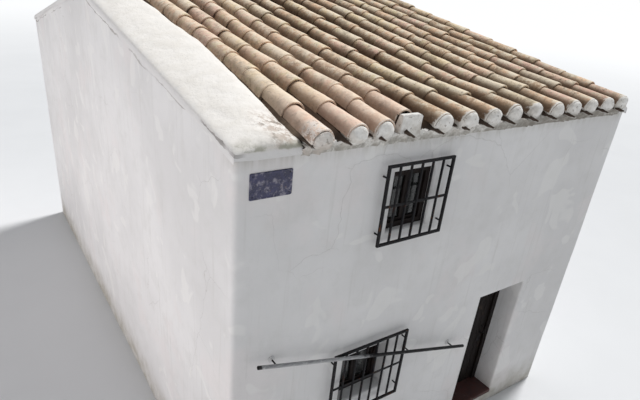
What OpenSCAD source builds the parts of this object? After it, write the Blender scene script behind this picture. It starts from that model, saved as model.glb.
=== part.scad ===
// Two-storey earth-walled village house with a low gable roof of barrel tiles.
// X runs along the front from the lane side, Y runs into the house, Z is up.
// The origin is the middle of the footprint at the lowest ground.

/* [Building] */
// Width of the front over both side walls
house_w = 5000; // [4600:10:5600]
// Depth from the front face to the back face
house_d = 8500; // [7600:10:9400]
// Height of the roof surface at the front face
eave_h = 4050; // [4000:10:4300]
// Thickness of the earth walls
wall_t = 480; // [450:10:560]

/* [Floors] */
// Height of the ground floor's surface
ground_floor_z = 180; // [120:10:200]
// Height of the upper floor's surface
upper_floor_z = 2230; // [2180:10:2400]
// Thickness of the upper floor's boards and fill
upper_floor_t = 60; // [40:5:90]
// Diameter of the round poles under the upper floor
floor_pole_d = 130; // [100:5:150]
// Number of poles under the upper floor
floor_poles = 9; // [6:1:12]

/* [Roof] */
// Pitch of both slopes in degrees
roof_pitch = 10; // [8:0.5:14]
// Thickness of the cane and earth deck under the tiles
deck_t = 60; // [40:5:90]
// Diameter of the ridge pole
ridge_pole_d = 180; // [140:5:220]
// Diameter of the purlins
purlin_d = 140; // [110:5:170]
// Number of purlins under each slope
purlins = 3; // [2:1:5]

/* [Tiles] */
// Distance between two rows of cover tiles
tile_pitch = 316; // [300:1:330]
// Outer radius of a cover tile at its wide end
cover_r = 110; // [100:1:118]
// Inner radius of a channel tile
pan_r = 95; // [85:1:100]
// Thickness of a tile
tile_t = 15; // [12:1:18]
// Height of the channel's bottom above the deck
pan_floor = 32; // [25:1:40]
// Height at which the cover tiles spring
spring_h = 88; // [80:1:100]
// How deep the cover tiles are set into the mortar bed
cover_seat = 8; // [4:1:14]
// How far the cover tiles stand out past the wall
cover_out = 42; // [30:1:60]
// How far the channel tiles stand out past the wall
pan_out = 150; // [130:1:165]
// How far the mortar bed stands out past the wall
bed_out = 25; // [15:1:28]
// Outer radius of the ridge tiles
ridge_r = 125; // [115:1:140]
// Height of the ridge tiles' springing above the deck
ridge_spring = 100; // [90:5:130]

/* [Verges] */
// Width of the mortar band over the lane wall
lane_cap_w = 419; // [390:1:440]
// Height of the lane band where it meets the tiles
lane_cap_h = 130; // [100:5:150]
// Least width of the mortar band over the other side wall
right_cap_min = 150; // [120:5:170]
// Height of that band where it meets the tiles
right_cap_h = 95; // [80:5:120]
// Thickness of both bands at their outer edge
cap_lip = 22; // [15:1:30]
// How far the bands stand out past the walls
cap_out = 12; // [5:1:20]

/* [Doorway] */
// Distance from the lane corner to the doorway
door_x = 3200; // [3100:10:3400]
// Width of the doorway
door_w = 800; // [760:10:860]
// Height of the doorway's head
door_head_z = 1960; // [1930:10:2000]
// Height of the threshold's surface
threshold_z = 208; // [202:1:230]
// Thickness of the threshold slab
threshold_t = 60; // [40:5:80]
// Depth from the front face to the door frame
door_reveal = 270; // [200:10:300]

/* [Door] */
// Width of the frame's jambs and head
frame_w = 60; // [50:1:70]
// Depth of the stop that the leaf closes against
stop_d = 20; // [15:1:25]
// How far the stop covers the leaf's edge
stop_lap = 12; // [8:1:16]
// Thickness of the leaf's boards
leaf_t = 40; // [32:1:45]
// Gap all round the leaf
leaf_gap = 5; // [5:0.5:8]
// Number of boards in the leaf
leaf_boards = 5; // [4:1:7]
// Width and depth of the grooves between the boards
board_groove = 5; // [3:1:8]
// Width of the ledges across the leaf
ledge_w = 110; // [90:5:130]
// Thickness of the ledges
ledge_t = 25; // [20:1:30]
// Length of the strap hinges
strap_l = 420; // [340:10:500]
// Width of the strap hinges
strap_w = 40; // [30:1:50]
// Thickness of the strap hinges
strap_t = 6; // [5:0.5:8]
// Diameter of the hinge pins
pin_d = 16; // [12:1:20]
// Wall of the eye round the pin
eye_wall = 6; // [5:0.5:8]
// Radial play of the pin in the eye
pin_play = 0.05; // [0.02:0.01:0.1]
// Radius of the pull handle
pull_r = 55; // [45:1:65]
// Radius of the pull handle's bar
pull_bar_r = 6; // [5:0.5:8]

/* [Windows] */
// Distance from the lane corner to the upper window's middle
upper_window_x = 1734; // [1650:1:1800]
// Width of the upper window's opening
upper_window_w = 480; // [440:5:520]
// Height of the upper window's opening
upper_window_h = 560; // [520:5:600]
// Distance from the roof line down to the upper window's head
upper_window_down = 314; // [300:2:380]
// Distance from the lane corner to the lower window's middle
lower_window_x = 1520; // [1450:1:1600]
// Width of the lower window's opening
lower_window_w = 600; // [540:5:640]
// Height of the lower window's opening
lower_window_h = 600; // [540:5:640]
// Height of the lower window's sill
lower_window_z = 1262; // [1240:2:1280]
// Depth from the wall's face to the frames of the upper and the back window
upper_window_reveal = 60; // [50:5:110]
// Depth from the wall's face to the lower window's frame
lower_window_reveal = 150; // [120:5:180]
// How far each jamb splays towards the room
window_splay = 60; // [40:5:80]
// Face width of the window frames
window_frame_w = 42; // [36:1:50]
// Depth of the window frames
window_frame_d = 60; // [50:1:70]
// Face width of the casements' stiles and rails
sash_w = 34; // [28:1:40]
// Depth of the casements
sash_d = 36; // [30:1:40]
// Gap round each casement
sash_gap = 1.5; // [1:0.5:3]
// How far the frame's outer stop laps over the casements
window_stop = 10; // [6:1:14]
// Thickness of the panes
glass_t = 4; // [3:0.5:6]

/* [Grilles] */
// Width of the upper grille
upper_grille_w = 776; // [720:2:820]
// Height of the upper grille
upper_grille_h = 748; // [700:2:790]
// How far the upper grille reaches below the window's sill
upper_grille_drop = 88; // [76:2:110]
// Width of the lower grille
lower_grille_w = 930; // [880:5:960]
// Height of the lower grille
lower_grille_h = 850; // [800:5:880]
// How far the lower grille reaches below the window's sill
lower_grille_drop = 121; // [100:1:140]
// Gap between the wall and the grilles
grille_off = 46; // [36:1:48]
// Width and depth of the grilles' square edge bars
edge_bar = 24; // [18:1:26]
// Height of the flat cross rail
rail_h = 26; // [20:1:32]
// Thickness of the flat cross rail
rail_t = 8; // [6:1:10]
// Diameter of the stubs let into the wall
stub_d = 16; // [10:1:18]
// Distance from a grille's top and bottom to its stubs
stub_in = 112; // [90:2:140]

/* [Handrail] */
// Distance from the lane corner to the handrail's high end
hand_x = 209; // [180:1:240]
// Height of the handrail's high end
hand_z = 2245; // [2200:5:2280]
// Length of the handrail
hand_l = 2850; // [2780:10:2900]
// Fall of the handrail in degrees
hand_fall = 16.5; // [14:0.5:18]
// Outer diameter of the handrail
hand_d = 34; // [28:1:42]
// Wall of the handrail's tube
hand_wall = 3; // [2:0.5:4]
// Distance from the wall to the handrail's axis
hand_off = 95; // [92:1:102]
// Diameter of the brackets' bars
bracket_d = 14; // [10:1:18]
// Diameter of the brackets' wall plates
plate_d = 66; // [50:1:75]
// Thickness of the brackets' wall plates
plate_t = 6; // [4:0.5:8]
// Distance from the handrail's ends to the first and last bracket
bracket_in = 190; // [150:5:230]
// Gap between the lower grille and the middle bracket's plate
plate_gap = 12; // [8:1:30]

/* [Plaque] */
// Distance from the lane corner to the plaque
plaque_x = 119; // [90:1:150]
// Distance from the roof line down to the plaque
plaque_down = 136; // [110:1:160]
// Width of the plaque
plaque_w = 350; // [300:5:400]
// Height of the plaque
plaque_h = 202; // [170:1:230]
// Thickness of the plaque
plaque_t = 8; // [5:0.5:12]
// Radius of the plaque's corners
plaque_r = 10; // [5:1:20]

/* [Hidden] */
$fn = 48;

// Half sizes of the footprint, outside and inside the walls
half_w = house_w / 2;
half_d = house_d / 2;
in_w = half_w - wall_t;
in_d = half_d - wall_t;
// A length past every face, for cuts
over = 20;
// Joint left between the pieces that lie on each other along the slope
seat = 0.02;

// Roof heights, all measured upright
slope = tan(roof_pitch);
deck_v = deck_t / cos(roof_pitch);
ridge_h = eave_h + half_d * slope;
wall_top = eave_h - deck_v - seat;
wall_peak = ridge_h - deck_v - seat;
slope_l = half_d / cos(roof_pitch);

// Rows of tiles, counted from the lane side
channel = tile_pitch - 2 * cover_r;
first_cover = lane_cap_w + channel + cover_r;
rows = 1 + floor((house_w - first_cover - cover_r - right_cap_min) / tile_pitch);
last_cover = first_cover + (rows - 1) * tile_pitch;
right_cap_w = house_w - last_cover - cover_r;

// Heights of the upper window and of both grilles
upper_window_z = eave_h - upper_window_down - upper_window_h;
upper_grille_z = upper_window_z - upper_grille_drop;
lower_grille_z = lower_window_z - lower_grille_drop;

// Door leaf, measured from the lane corner and the front face
stop_w = leaf_gap + stop_lap;
leaf_y = door_reveal + stop_d + leaf_gap;
leaf_back = leaf_y + leaf_t;
leaf_x = door_x + frame_w + leaf_gap;
leaf_w = door_w - 2 * (frame_w + leaf_gap);
leaf_z = threshold_z + leaf_gap;
leaf_h = door_head_z - frame_w - leaf_gap - leaf_z;
eye_r = pin_d / 2 + pin_play + eye_wall;
pin_x = leaf_x - leaf_gap / 2;
pin_y = leaf_back + leaf_gap + eye_r;
ledge_in = 45;
ledge_z = [for (f = [0.12, 0.5, 0.88]) leaf_z + f * leaf_h - ledge_w / 2];
strap_z = [ledge_z[0] + ledge_w + 10, ledge_z[2] - strap_w - 10];
eye_gap = 0.5;

// Height of the roof's surface, or of a layer below it, over a place in the depth
function roof_z(y, below = 0) = ridge_h - below - abs(y) * slope;

// Places a shape measured from the lane corner of the front face
module at_front(x, z) { translate([x - half_w, -half_d, z]) children(); }

// Extrudes an outline drawn in depth and height across the width
module across(x, w) { translate([x, 0, 0]) rotate([90, 0, 90]) linear_extrude(w) children(); }

// Extrudes a section drawn in width and height up the front slope
module up_slope(from, to) {
    translate([-half_w, -half_d, eave_h + seat]) rotate([roof_pitch, 0, 0])
        translate([0, to, 0]) rotate([90, 0, 0]) linear_extrude(to - from) children();
}

// Keeps what lies in front of the ridge tiles
module before_ridge() {
    difference() {
        children();
        translate([-house_w, -ridge_r, eave_h]) cube([2 * house_w, house_d, house_d]);
    }
}

// Hole for a window, straight to the frame and splayed behind it
module window_hole(x, z, w, h, reveal) {
    straight = reveal + window_frame_d;
    at_front(x, z) linear_extrude(h) polygon([
        [-w / 2, -over], [w / 2, -over], [w / 2, straight],
        [w / 2 + window_splay, wall_t + over], [-w / 2 - window_splay, wall_t + over],
        [-w / 2, straight]]);
}

// End wall whose head follows the roof, from a height up
module end_wall(z) {
    across(-in_w, 2 * in_w) polygon([
        [-half_d, z], [-in_d, z], [-in_d, roof_z(in_d, deck_v + seat)], [-half_d, wall_top]]);
}

module gable_wall(x) {
    across(x, wall_t) polygon([
        [-half_d, 0], [half_d, 0], [half_d, wall_top], [0, wall_peak], [-half_d, wall_top]]);
}

module front_wall_upper() {
    color("white") difference() {
        end_wall(door_head_z);
        window_hole(upper_window_x, upper_window_z, upper_window_w, upper_window_h, upper_window_reveal);
    }
}

module front_wall_lower() {
    color("white") difference() {
        at_front(wall_t, 0) cube([door_x - wall_t, wall_t, door_head_z]);
        window_hole(lower_window_x, lower_window_z, lower_window_w, lower_window_h, lower_window_reveal);
    }
}

module front_wall_pier() {
    color("white") at_front(door_x + door_w, 0)
        cube([house_w - wall_t - door_x - door_w, wall_t, door_head_z]);
}

module door_footing() {
    color("white") at_front(door_x, 0) cube([door_w, wall_t, threshold_z - threshold_t]);
}

module back_wall() {
    color("white") mirror([0, 1, 0]) difference() {
        end_wall(0);
        window_hole(upper_window_x, upper_window_z, upper_window_w, upper_window_h, upper_window_reveal);
    }
}

module ground_floor() {
    color("gray") translate([-in_w, -in_d, 0]) cube([2 * in_w, 2 * in_d, ground_floor_z]);
}

module upper_floor() {
    color("peru") translate([-in_w, -in_d, upper_floor_z - upper_floor_t])
        cube([2 * in_w, 2 * in_d, upper_floor_t]);
}

// Round pole that spans between the side walls
module pole(y, z, d) { translate([-in_w, y, z]) rotate([0, 90, 0]) cylinder(d = d, h = 2 * in_w); }

module floor_poles() {
    step = 2 * in_d / floor_poles;
    color("sienna") for (i = [0 : floor_poles - 1])
        pole(-in_d + (i + 0.5) * step, upper_floor_z - upper_floor_t - floor_pole_d / 2, floor_pole_d);
}

module ridge_pole() {
    color("sienna") pole(0, wall_peak - ridge_pole_d / 2 / cos(roof_pitch), ridge_pole_d);
}

module front_purlins() {
    color("sienna") for (i = [1 : purlins]) {
        y = -i * in_d / (purlins + 1);
        pole(y, roof_z(y, deck_v) - purlin_d / 2 / cos(roof_pitch), purlin_d);
    }
}

module front_deck() {
    color("tan") across(-half_w, house_w) polygon([
        [-half_d, eave_h - deck_v], [0, ridge_h - deck_v], [0, ridge_h], [-half_d, eave_h]]);
}

// Places a shape at every channel, counted from the lane side
module each_pan() {
    for (i = [0 : rows - 1])
        translate([first_cover + (i - 0.5) * tile_pitch, pan_floor + pan_r]) children();
}

// Section of the mortar bed with its channels
module bed_section() {
    difference() {
        translate([lane_cap_w, 0]) square([last_cover + cover_r - lane_cap_w, spring_h]);
        each_pan() circle(pan_r);
    }
}

// Section of the channel tiles, below the springing of the covers
module pan_section() {
    intersection() {
        translate([lane_cap_w, 0]) square([last_cover - lane_cap_w, spring_h]);
        each_pan() difference() {
            circle(pan_r + tile_t);
            circle(pan_r);
        }
    }
}

// Section of the cover tiles with the mortar that fills them, set into the bed
module cover_section() {
    for (i = [0 : rows - 1]) translate([first_cover + i * tile_pitch, spring_h]) intersection() {
        circle(cover_r);
        translate([-cover_r, -cover_seat]) square([2 * cover_r, cover_r + cover_seat]);
    }
}

module front_tiles() {
    color("burlywood") before_ridge() {
        up_slope(-bed_out, slope_l) bed_section();
        up_slope(-cover_out, slope_l) cover_section();
        up_slope(-pan_out, slope_l) pan_section();
    }
}

module ridge_tiles() {
    color("burlywood") across(-half_w, house_w) {
        translate([0, ridge_h + ridge_spring]) intersection() {
            circle(ridge_r);
            translate([-ridge_r, 0]) square([2 * ridge_r, ridge_r]);
        }
        polygon([
            [-ridge_r, roof_z(ridge_r, -seat)], [0, ridge_h + seat], [ridge_r, roof_z(ridge_r, -seat)],
            [ridge_r, ridge_h + ridge_spring], [-ridge_r, ridge_h + ridge_spring]]);
    }
}

// Section of a mortar band that swells from a thin outer edge towards the tiles
module cap_section(w, h) {
    rise = h - cap_lip;
    reach = w + cap_out;
    r = (reach * reach + rise * rise) / (2 * rise);
    translate([-cap_out, 0]) intersection() {
        square([reach, h]);
        translate([reach, h - r]) circle(r, $fn = 360);
    }
}

// Mortar band up the front slope, cut upright at the front
module verge_cap(w, h) {
    before_ridge() intersection() {
        up_slope(-over * 3, slope_l) cap_section(w - seat, h);
        translate([-house_w, -half_d - cap_out, 0]) cube([2 * house_w, house_d, 2 * eave_h]);
    }
}

module lane_cap_front() { color("white") verge_cap(lane_cap_w, lane_cap_h); }

module right_cap_front() { color("white") mirror([1, 0, 0]) verge_cap(right_cap_w, right_cap_h); }

module threshold() {
    color("saddlebrown") at_front(door_x, threshold_z - threshold_t)
        cube([door_w, wall_t, threshold_t]);
}

module door_frame() {
    color([0.2, 0.15, 0.12]) at_front(door_x, threshold_z) {
        translate([0, door_reveal, 0]) door_ring(frame_w, stop_d + leaf_gap + leaf_t);
        translate([0, door_reveal, 0]) door_ring(frame_w + stop_w, stop_d);
    }
}

// Frame of a given face width and depth round the doorway's sides and head
module door_ring(w, d) {
    h = door_head_z - threshold_z;
    translate([0, d, 0]) rotate([90, 0, 0]) linear_extrude(d) difference() {
        square([door_w, h]);
        translate([w, -1]) square([door_w - 2 * w, h - w + 1]);
    }
}

module door_pintles() {
    arm_h = 20;
    plate_w = frame_w - 10;
    color([0.15, 0.15, 0.15]) for (z = strap_z) at_front(0, z) {
        translate([pin_x, pin_y, -eye_gap]) cylinder(d = pin_d, h = strap_w + eye_gap + 4);
        translate([pin_x, pin_y, -eye_gap - arm_h]) cylinder(d = pin_d, h = arm_h);
        translate([door_x + 5, leaf_back, -eye_gap - arm_h - 50])
            cube([plate_w, strap_t, arm_h + 50]);
        translate([pin_x - eye_r - 6, leaf_back, -eye_gap - arm_h])
            cube([eye_r + 6, pin_y - leaf_back, arm_h]);
    }
}

module door_leaf() {
    board = leaf_w / leaf_boards;
    color([0.22, 0.16, 0.12]) at_front(leaf_x, leaf_z) difference() {
        translate([0, leaf_y, 0]) cube([leaf_w, leaf_t, leaf_h]);
        for (i = [1 : leaf_boards - 1])
            translate([i * board, leaf_y, -over]) rotate([0, 0, 45])
                translate([-board_groove / 2, -board_groove / 2, 0])
                    cube([board_groove, board_groove, leaf_h + 2 * over]);
    }
}

module door_ledges() {
    color([0.25, 0.18, 0.13]) for (z = ledge_z) at_front(leaf_x + ledge_in, z)
        translate([0, leaf_back, 0]) cube([leaf_w - 2 * ledge_in, ledge_t, ledge_w]);
}

module door_straps() {
    color([0.15, 0.15, 0.15]) for (z = strap_z) at_front(0, z) difference() {
        union() {
            translate([pin_x, pin_y, 0]) cylinder(r = eye_r, h = strap_w);
            translate([leaf_x, leaf_back, 0]) cube([strap_l, strap_t, strap_w]);
            translate([leaf_x, leaf_back, 0]) cube([eye_r - leaf_gap / 2, pin_y - leaf_back, strap_w]);
        }
        translate([pin_x, pin_y, -over]) cylinder(r = pin_d / 2 + pin_play, h = strap_w + 2 * over);
    }
}

module door_pull() {
    color([0.15, 0.15, 0.15]) at_front(leaf_x + leaf_w - 85, leaf_z + 0.52 * leaf_h)
        translate([0, leaf_y, 0]) {
            rotate([0, -90, 0]) rotate([0, 0, 180]) rotate_extrude(angle = 180)
                translate([pull_r, 0]) circle(pull_bar_r);
            for (s = [-1, 1]) translate([0, 0, s * pull_r]) rotate([90, 0, 0])
                cylinder(r = 3 * pull_bar_r, h = 4);
        }
}

module lock_plate() {
    color([0.15, 0.15, 0.15]) at_front(leaf_x + leaf_w - 85, leaf_z + 0.43 * leaf_h)
        translate([0, leaf_y, 0]) rotate([90, 0, 0]) linear_extrude(4) difference() {
            translate([-25, -45]) square([50, 90]);
            circle(d = 9);
            translate([-2.5, -16]) square([5, 16]);
        }
}

// Rectangular border standing on the middle of its lower edge
module border(w, h, b, d) {
    translate([0, d, 0]) rotate([90, 0, 0]) linear_extrude(d) difference() {
        translate([-w / 2, 0]) square([w, h]);
        translate([b - w / 2, b]) square([w - 2 * b, h - 2 * b]);
    }
}

// Window frame in an opening, with an outer stop that the casements close against
module window_frame(x, z, w, h, reveal) {
    color([0.3, 0.2, 0.14]) at_front(x, z) translate([0, reveal, 0]) {
        border(w, h, window_frame_w, window_frame_d);
        border(w, h, window_frame_w + sash_gap + window_stop, window_frame_d - sash_d);
    }
}

// Places a shape for each of the two casements, with its width and height
module each_casement(x, z, w, h, reveal) {
    leaf_w = (w - 2 * window_frame_w - 3 * sash_gap) / 2;
    for (s = [-1, 1]) at_front(x, z) translate([
        s * (leaf_w + sash_gap) / 2,
        reveal + window_frame_d - sash_d,
        window_frame_w + sash_gap]) children();
}

module casements(x, z, w, h, reveal) {
    leaf_w = (w - 2 * window_frame_w - 3 * sash_gap) / 2;
    leaf_h = h - 2 * (window_frame_w + sash_gap);
    color([0.3, 0.2, 0.14]) each_casement(x, z, w, h, reveal)
        border(leaf_w, leaf_h, sash_w, sash_d);
}

module panes(x, z, w, h, reveal) {
    leaf_w = (w - 2 * window_frame_w - 3 * sash_gap) / 2;
    leaf_h = h - 2 * (window_frame_w + sash_gap);
    color([0.6, 0.7, 0.75, 0.4]) each_casement(x, z, w, h, reveal)
        translate([sash_w - leaf_w / 2, (sash_d - glass_t) / 2, sash_w])
            cube([leaf_w - 2 * sash_w, glass_t, leaf_h - 2 * sash_w]);
}

// Iron window guard with a flat rail across its middle
module grille(x, z, w, h) {
    color([0.1, 0.1, 0.1]) at_front(x, z) {
        translate([0, -grille_off - edge_bar, 0]) border(w, h, edge_bar, edge_bar);
        translate([-w / 2 + edge_bar / 2, -grille_off - (edge_bar + rail_t) / 2, (h - rail_h) / 2])
            cube([w - edge_bar, rail_t, rail_h]);
    }
}

// Four stubs that hold a grille off the wall
module stubs(x, z, w, h) {
    color([0.1, 0.1, 0.1]) at_front(x, z)
        for (sx = [-1, 1]) for (sz = [stub_in, h - stub_in])
            translate([sx * (w - edge_bar) / 2, 0, sz]) rotate([90, 0, 0])
                cylinder(d = stub_d, h = grille_off);
}

module grille_stubs() {
    stubs(upper_window_x, upper_grille_z, upper_grille_w, upper_grille_h);
    stubs(lower_window_x, lower_grille_z, lower_grille_w, lower_grille_h);
    mirror([0, 1, 0]) stubs(upper_window_x, upper_grille_z, upper_grille_w, upper_grille_h);
}

// Upper window's panes, frame and casements, which the back window repeats
module upper_panes() {
    panes(upper_window_x, upper_window_z, upper_window_w, upper_window_h, upper_window_reveal);
}

module upper_frame() {
    window_frame(upper_window_x, upper_window_z, upper_window_w, upper_window_h, upper_window_reveal);
}

module upper_leaves() {
    casements(upper_window_x, upper_window_z, upper_window_w, upper_window_h, upper_window_reveal);
}

module window_glass() {
    upper_panes();
    panes(lower_window_x, lower_window_z, lower_window_w, lower_window_h, lower_window_reveal);
    mirror([0, 1, 0]) upper_panes();
}

// Turns what follows into the handrail's run from its high end
module along_hand() {
    at_front(hand_x, hand_z) translate([0, -hand_off, 0]) rotate([0, 90 + hand_fall, 0]) children();
}

module handrail() {
    color([0.5, 0.5, 0.5]) along_hand() difference() {
        cylinder(d = hand_d, h = hand_l);
        translate([0, 0, -over]) cylinder(d = hand_d - 2 * hand_wall, h = hand_l + 2 * over);
    }
}

// Straight brackets, the middle one just past the lower grille
module handrail_brackets() {
    past_grille = lower_window_x + (lower_grille_w + plate_d) / 2 + plate_gap;
    middle = (past_grille - hand_x) / cos(hand_fall);
    color([0.2, 0.2, 0.2]) difference() {
        for (s = [bracket_in, middle, hand_l - bracket_in])
            at_front(hand_x + s * cos(hand_fall), hand_z - s * sin(hand_fall)) rotate([90, 0, 0]) {
                cylinder(d = plate_d, h = plate_t);
                cylinder(d = bracket_d, h = hand_off);
            }
        along_hand() cylinder(d = hand_d, h = hand_l);
    }
}

module street_plaque() {
    color([0.1, 0.12, 0.3]) at_front(plaque_x, eave_h - plaque_down - plaque_h)
        rotate([90, 0, 0]) linear_extrude(plaque_t) {
            for (x = [plaque_r, plaque_w - plaque_r]) for (y = [plaque_r, plaque_h - plaque_r])
                translate([x, y]) circle(plaque_r);
            translate([plaque_r, 0]) square([plaque_w - 2 * plaque_r, plaque_h]);
            translate([0, plaque_r]) square([plaque_w, plaque_h - 2 * plaque_r]);
        }
}

front_wall_upper();
front_wall_lower();
front_wall_pier();
door_footing();
color("white") gable_wall(-half_w);  // lane_wall
color("white") gable_wall(in_w);  // right_wall
back_wall();
ground_floor();
upper_floor();
floor_poles();
ridge_pole();
front_purlins();
mirror([0, 1, 0]) front_purlins();  // back_purlins
front_deck();
mirror([0, 1, 0]) front_deck();  // back_deck
front_tiles();
mirror([0, 1, 0]) front_tiles();  // back_tiles
ridge_tiles();
lane_cap_front();
mirror([0, 1, 0]) lane_cap_front();  // lane_cap_back
right_cap_front();
mirror([0, 1, 0]) right_cap_front();  // right_cap_back
threshold();
door_frame();
door_pintles();
door_leaf();
door_ledges();
door_straps();
door_pull();
lock_plate();
upper_frame();  // upper_window_frame
upper_leaves();  // upper_casements
window_frame(lower_window_x, lower_window_z, lower_window_w, lower_window_h, lower_window_reveal);  // lower_window_frame
casements(lower_window_x, lower_window_z, lower_window_w, lower_window_h, lower_window_reveal);  // lower_casements
mirror([0, 1, 0]) upper_frame();  // back_window_frame
mirror([0, 1, 0]) upper_leaves();  // back_casements
window_glass();
grille(upper_window_x, upper_grille_z, upper_grille_w, upper_grille_h);  // upper_grille
grille(lower_window_x, lower_grille_z, lower_grille_w, lower_grille_h);  // lower_grille
mirror([0, 1, 0]) grille(upper_window_x, upper_grille_z, upper_grille_w, upper_grille_h);  // back_grille
grille_stubs();
handrail();
handrail_brackets();
street_plaque();
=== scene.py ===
import bpy, bmesh
from math import ceil, cos, exp, hypot, pi, radians, sin, tan
import numpy as np
from mathutils import Matrix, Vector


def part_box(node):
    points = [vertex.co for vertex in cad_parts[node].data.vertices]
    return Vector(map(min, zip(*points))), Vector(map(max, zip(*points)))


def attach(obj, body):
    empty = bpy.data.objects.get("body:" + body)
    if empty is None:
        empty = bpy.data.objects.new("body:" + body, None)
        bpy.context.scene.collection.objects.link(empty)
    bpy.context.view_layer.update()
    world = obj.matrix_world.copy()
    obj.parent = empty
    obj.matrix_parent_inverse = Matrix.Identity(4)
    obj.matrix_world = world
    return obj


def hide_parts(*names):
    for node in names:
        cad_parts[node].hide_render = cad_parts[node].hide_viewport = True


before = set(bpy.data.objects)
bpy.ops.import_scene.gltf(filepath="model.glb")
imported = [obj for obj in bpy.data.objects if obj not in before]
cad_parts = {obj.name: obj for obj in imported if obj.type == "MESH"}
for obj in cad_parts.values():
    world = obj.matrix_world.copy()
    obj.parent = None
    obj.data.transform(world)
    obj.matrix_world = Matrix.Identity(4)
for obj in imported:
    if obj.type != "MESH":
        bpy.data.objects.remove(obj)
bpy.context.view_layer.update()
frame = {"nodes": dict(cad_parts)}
nodes = frame["nodes"]

# Sizes shared with the CAD model, in metres
W, D, EAVE, WALL = 5.0, 8.5, 4.05, .48
SLOPE = radians(10)
TAN, COS, SIN = tan(SLOPE), cos(SLOPE), sin(SLOPE)
RUN = D / 2 / COS
PITCH, FIRST, ROWS = .316, .625, 14
# Covers: height of their springing, radius, thickness and length. Channels: first end, radius at the
# lower and the upper end, height of their centre, distance from lap to lap
SPRING, COVER_R, TILE_T, TILE_L = .088, .110, .015, .50
PAN_S, PAN_TIP, PAN_HEAD, PAN_C, PAN_LAP = -.148, .098, .107, .120, .42
# Where the covers of the front end at the eave, and their shift along it
COVER_S = (-.100, -.070, -.046, .095, -.046, -.050, -.044, -.014, -.010, -.052, -.046, -.040, -.048, -.044)
COVER_DU = (0, 0, -.035, -.02, 0, -.01, 0, 0, 0, .005, 0, 0, 0, -.01)
BROKEN = 3
# Mean distance from lap to lap in each row of the front
LAP = (.405, .430, .370, .395, .395, .380, .410, .400, .330, .340, .345, .435, .400, .390)
# The back's rows have one distance and one place of their ends
BACK_LAP, BACK_S = .405, -.042
CAP_W, CAP_H, LAST = .419, .130, FIRST + 13 * PITCH
# The front's field was laid by hand: row, how far it bows towards the lane, and how far up
# the slope that starts, is full and begins to ease off
BOWS = ((0, -.050, .20, 1.30, 1.8), (1, .040, .90, 2.20, 2.4), (2, .085, .30, 1.80, 2.0),
        (3, .120, .15, 1.80, 2.4), (4, .135, .10, 1.30, 3.2), (5, .140, .10, 1.10, 3.2),
        (6, .105, .15, .75, 2.6), (8, .100, .30, .85, 1.5), (10, .075, .20, .75, 1.8),
        (13, .040, .20, .75, 2.0))
# Openings of the front: left and right from the lane corner, foot and head
UPPER = (1.494, 1.974, 3.176, 3.736)
LOWER = (1.220, 1.820, 1.262, 1.862)
DOOR = (3.200, 4.000, .148, 1.960)
FLOOR = .18
# Points closer than this are joined, and lengths closer than a hair count as equal
WELD, HAIR = 2e-5, 1e-4
# Large primes that turn a lattice point into a number, which wraps round on purpose
PRIMES = (73856093, 19349663, 83492791)
np.seterr(over="ignore")


# Noise and smooth steps
def step(x, a, b):
    t = np.clip((np.asarray(x, float) - a) / (b - a), 0, 1)
    return t * t * (3 - 2 * t)


def noise(P, f, seed=0):
    P = np.asarray(P, float) * f + 1000.5
    i = np.floor(P).astype(np.int64)
    t = P - i
    t = t * t * (3 - 2 * t)
    out = 0
    for corner in np.ndindex(2, 2, 2):
        h = 0
        for k in range(3):
            h = h ^ ((i[..., k] + corner[k]) * PRIMES[k])
        h = (h ^ (seed * 7919 + 12345)) & 0xffffffff
        h = ((h ^ (h >> 15)) * 2246822519) & 0xffffffff
        h = ((h ^ (h >> 13)) * 3266489917) & 0xffffffff
        v = ((h ^ (h >> 16)) & 0xffff) / 32767.5 - 1
        for k in range(3):
            v = v * (t[..., k] if corner[k] else 1 - t[..., k])
        out = out + v
    return out


def fbm(P, f, octaves=3, seed=0):
    out = 0
    for k in range(octaves):
        out = out + noise(P, f * 2 ** k, seed + k) / 2 ** k
    return out / 1.6


# Points from three coordinates, each an array or one number for all
def points(x, y, z):
    return np.stack(np.broadcast_arrays(x, y, z), -1)


# Four-sided faces between the rows of a grid of point numbers
def quads(ids):
    return np.stack([ids[:-1, :-1], ids[:-1, 1:], ids[1:, 1:], ids[1:, :-1]], -1)


# Collects vertices and faces of one joined mesh
class Bag:
    def __init__(self):
        self.v, self.f, self.n, self.tone, self.lime = [], [], 0, [], []

    def add(self, v, faces, tone=.5, lime=0.0):
        v = np.asarray(v, float).reshape(-1, 3)
        self.v.append(v)
        self.f += [[int(k) + self.n for k in f] for f in faces]
        self.tone.append(np.full(len(v), tone))
        self.lime.append(np.broadcast_to(lime, len(v)))
        self.n += len(v)

    def grid(self, P, wrap=False, caps=False, flip=False, keep=None, tone=.5):
        a, b = P.shape[:2]
        ids = np.arange(a * b).reshape(a, b)
        if wrap:
            ids = np.concatenate([ids, ids[:, :1]], 1)
        q = quads(ids)
        if keep is not None:
            q = q[keep]
        q = q.reshape(-1, 4)
        faces = (q[:, ::-1] if flip else q).tolist()
        if caps:
            faces += [ids[0, :b][::-1].tolist(), ids[-1, :b].tolist()]
        self.add(P, faces, tone)


def add_object(name, data):
    ob = bpy.data.objects.new(name, data)
    bpy.context.scene.collection.objects.link(ob)
    return ob


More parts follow.
